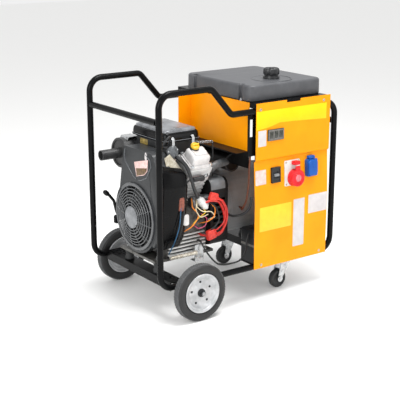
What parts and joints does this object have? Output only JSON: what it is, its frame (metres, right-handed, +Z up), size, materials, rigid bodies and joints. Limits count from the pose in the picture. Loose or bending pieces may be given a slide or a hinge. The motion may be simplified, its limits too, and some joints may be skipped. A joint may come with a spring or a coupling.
{
  "type": "wheeled engine driven generator set",
  "caption": "Petrol V-twin engine and alternator in a bent tube frame with two wheels, two casters, a fuel tank and a yellow outlet panel.",
  "frame": {"origin": "on the floor, below the centre of the overall box, midway between the two side loops", "axes": "+X along the crankshaft from the fan to the alternator, -Y towards the outlet panel, +Z up"},
  "size_m": [0.905, 0.6286, 0.938],
  "materials": {
    "black_paint": "satin",
    "black_plastic": "satin",
    "yellow_paint": "gloss",
    "rubber": "matte",
    "tyre": "matte",
    "zinc": "satin",
    "cast_aluminium": "cast",
    "steel": "satin",
    "silver_paint": "satin",
    "tank_plastic": "satin",
    "outlet_red": "gloss",
    "outlet_blue": "gloss",
    "cable_black": "satin",
    "cable_red": "satin",
    "cable_brown": "satin"
  },
  "bodies": {
    "frame": {"side_loop_near": "black_paint", "side_loop_far": "black_paint", "cross_tube_rear": "black_paint", "cross_tube_front": "black_paint", "cross_channel_rear": "black_paint", "cross_channel_front": "black_paint", "muffler": "black_paint", "silencer": "black_paint", "adapter": "black_paint", "alternator_stator": "black_paint", "alternator_end_cover": "black_paint", "tank_tray": "black_paint", "panel_bracket": "black_paint", "cylinder_shroud": "black_plastic", "blower_housing": "black_plastic", "fan_guard": "black_plastic", "air_cleaner_base": "black_plastic", "breaker": "black_plastic", "digital_meter": "black_plastic", "battery": "black_plastic", "front_panel": "yellow_paint", "end_plate": "yellow_paint", "engine_mount_near": "rubber", "engine_mount_far": "rubber", "alternator_mount_near": "rubber", "alternator_mount_far": "rubber", "caster_plate_near": "zinc", "caster_plate_far": "zinc", "crankcase": "cast_aluminium", "cylinder_near": "cast_aluminium", "cylinder_far": "cast_aluminium", "starter_motor": "cast_aluminium", "axle": "steel", "valve_cover_near": "silver_paint", "valve_cover_far": "silver_paint", "fuel_tank": "tank_plastic", "red_outlet": "outlet_red", "blue_outlet": "outlet_blue", "cable_loop": "cable_black", "starter_cable": "cable_red", "alternator_harness": "cable_brown"},
    "wheel_near": {"tyre_near": "tyre", "rim_near": "silver_paint"},
    "wheel_far": {"tyre_far": "tyre", "rim_far": "silver_paint"},
    "caster_near": {"caster_fork_near": "zinc"},
    "caster_far": {"caster_fork_far": "zinc"},
    "caster_wheel_near_body": {"caster_wheel_near": "rubber"},
    "caster_wheel_far_body": {"caster_wheel_far": "rubber"},
    "rotor": {"crankshaft": "steel", "flywheel_fan": "cast_aluminium", "cooling_fan": "black_plastic", "alternator_rotor": "steel"},
    "fuel_cap_body": {"fuel_cap": "black_plastic"},
    "red_lid": {"red_outlet_lid": "outlet_red"},
    "blue_lid": {"blue_outlet_lid": "outlet_blue"},
    "breaker_switch": {"breaker_lever": "black_plastic"},
    "dipstick_body": {"dipstick": "steel"},
    "cleaner_cover": {"air_cleaner_cover": "silver_paint"}
  },
  "joints": [
    {"name": "wheel_near_roll", "type": "hinge", "parent": "frame", "child": "wheel_near", "pos_m": [-0.282, -0.2895, 0.115], "axis": [0, 1, 0], "continuous": true},
    {"name": "wheel_far_roll", "type": "hinge", "parent": "frame", "child": "wheel_far", "pos_m": [-0.282, 0.2895, 0.115], "axis": [0, 1, 0], "continuous": true},
    {"name": "caster_near_swivel", "type": "hinge", "parent": "frame", "child": "caster_near", "pos_m": [0.23, -0.187, 0.112], "axis": [0, 0, 1], "continuous": true},
    {"name": "caster_far_swivel", "type": "hinge", "parent": "frame", "child": "caster_far", "pos_m": [0.23, 0.187, 0.112], "axis": [0, 0, 1], "continuous": true},
    {"name": "caster_near_roll", "type": "hinge", "parent": "caster_near", "child": "caster_wheel_near_body", "pos_m": [0.2, -0.187, 0.04], "axis": [0, 1, 0], "continuous": true},
    {"name": "caster_far_roll", "type": "hinge", "parent": "caster_far", "child": "caster_wheel_far_body", "pos_m": [0.2, 0.187, 0.04], "axis": [0, 1, 0], "continuous": true},
    {"name": "crankshaft_turn", "type": "hinge", "parent": "frame", "child": "rotor", "pos_m": [0, 0, 0.372], "axis": [1, 0, 0], "continuous": true},
    {"name": "fuel_cap_turn", "type": "hinge", "parent": "frame", "child": "fuel_cap_body", "pos_m": [0.19, -0.135, 0.89], "axis": [0, 0, 1], "range_deg": [0, 120]},
    {"name": "red_lid_hinge", "type": "hinge", "parent": "frame", "child": "red_lid", "pos_m": [0.214, -0.28559, 0.54838], "axis": [-1, 0, 0], "range_deg": [0, 100], "stiffness_Nm_per_rad": 0.05},
    {"name": "blue_lid_hinge", "type": "hinge", "parent": "frame", "child": "blue_lid", "pos_m": [0.303, -0.27555, 0.56241], "axis": [-1, 0, 0], "range_deg": [0, 100], "stiffness_Nm_per_rad": 0.03},
    {"name": "breaker_rock", "type": "hinge", "parent": "frame", "child": "breaker_switch", "pos_m": [0.1155, -0.26395, 0.52175], "axis": [1, 0, 0], "range_deg": [-20, 20]},
    {"name": "dipstick_pull", "type": "slide", "parent": "frame", "child": "dipstick_body", "axis": [0, 1, 0], "range_m": [0, 0.08]},
    {"name": "cleaner_cover_lift", "type": "slide", "parent": "frame", "child": "cleaner_cover", "axis": [0, 0, 1], "range_m": [0, 0.05]}
  ]
}
